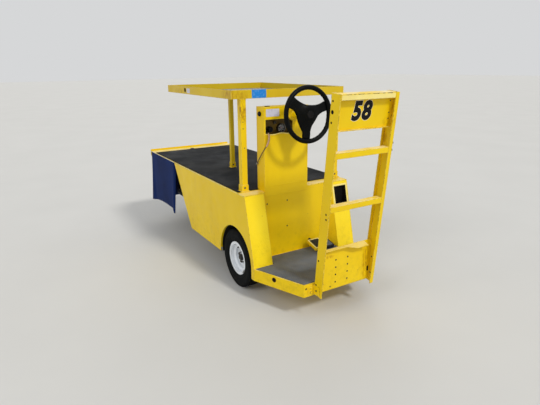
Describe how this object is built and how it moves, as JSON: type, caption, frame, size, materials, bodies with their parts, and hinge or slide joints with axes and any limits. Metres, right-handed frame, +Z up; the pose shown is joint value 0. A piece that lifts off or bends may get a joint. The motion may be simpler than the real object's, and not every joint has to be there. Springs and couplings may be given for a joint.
{
  "type": "electric burden carrier",
  "caption": "Ride-on electric burden carrier: flat cargo deck with raised shelf, dash tower and steering wheel, standing platform and rear ladder frame.",
  "frame": {"origin": "on the floor, midway along and across the machine", "axes": "+X towards the deck's front, +Y to the operator's left, +Z up"},
  "size_m": [2.62, 0.876, 1.3745],
  "materials": {
    "body_yellow": "gloss paint, worn",
    "rubber_mat": "ribbed rubber",
    "tyre_rubber": "worn rubber",
    "white_rim": "white paint",
    "steering_plastic": "moulded",
    "black_plastic": "moulded",
    "blue_fabric": "coated cloth",
    "cord_sheath": "cable sheath",
    "zinc_clip": "zinc plated",
    "shelf_sheet": "grey paint",
    "chassis_black": "satin black paint",
    "motor_grey": "satin paint",
    "battery_case": "moulded"
  },
  "bodies": {
    "chassis": {"accelerator_pedal": "body_yellow", "battery_block": "battery_case", "battery_tray": "chassis_black", "brake_pedal": "body_yellow", "bulkhead": "body_yellow", "cord_clip": "zinc_clip", "cord_gland": "black_plastic", "cord_tube": "cord_sheath", "curtain": "blue_fabric", "dash_tower": "body_yellow", "deck_frame": "chassis_black", "deck_mat": "rubber_mat", "deck_plate": "body_yellow", "drive_motor": "motor_grey", "fender_box_left": "body_yellow", "fender_box_right": "body_yellow", "frame_rail_left": "chassis_black", "frame_rail_right": "chassis_black", "front_lip": "body_yellow", "gauges": "black_plastic", "instrument_tray": "black_plastic", "ladder_brackets": "body_yellow", "ladder_rail_left": "body_yellow", "ladder_rail_right": "body_yellow", "ladder_rungs": "body_yellow", "leaf_springs": "chassis_black", "lower_panel": "body_yellow", "number_panel": "body_yellow", "platform_mat": "rubber_mat", "platform_tray": "body_yellow", "rear_axle": "chassis_black", "shelf_floor": "shelf_sheet", "shelf_frame": "body_yellow", "shelf_post_front": "body_yellow", "shelf_post_rear_left": "body_yellow", "shelf_post_rear_right": "body_yellow", "side_panel_left": "body_yellow", "side_panel_right": "body_yellow", "steering_bridge": "chassis_black", "steering_column": "black_plastic"},
    "rear_wheel_left": {"rim_rear_left": "white_rim", "tyre_rear_left": "tyre_rubber"},
    "rear_wheel_right": {"rim_rear_right": "white_rim", "tyre_rear_right": "tyre_rubber"},
    "fork": {"front_fork": "chassis_black"},
    "front_wheel": {"rim_front": "white_rim", "tyre_front": "tyre_rubber"},
    "steering": {"steering_wheel": "steering_plastic"}
  },
  "joints": [
    {"name": "rear_wheel_left_spin", "type": "hinge", "parent": "chassis", "child": "rear_wheel_left", "pos_m": [-0.47905, 0.346, 0.205], "axis": [0, 1, 0], "continuous": true},
    {"name": "rear_wheel_right_spin", "type": "hinge", "parent": "chassis", "child": "rear_wheel_right", "pos_m": [-0.47905, -0.346, 0.205], "axis": [0, 1, 0], "continuous": true},
    {"name": "fork_steer", "type": "hinge", "parent": "chassis", "child": "fork", "pos_m": [0.803, 0, 0.5], "axis": [0, 0, 1], "range_deg": [-45, 45]},
    {"name": "front_wheel_spin", "type": "hinge", "parent": "fork", "child": "front_wheel", "pos_m": [0.773, 0, 0.205], "axis": [0, 1, 0], "continuous": true},
    {"name": "steering_wheel_turn", "type": "hinge", "parent": "chassis", "child": "steering", "pos_m": [-0.80405, 0.036, 1.197], "axis": [-0.9976, 0, 0.0698], "range_deg": [-180, 180]}
  ],
  "couplings": [
    {"joint": "steering_wheel_turn", "follows": "fork_steer", "ratio": 4}
  ]
}
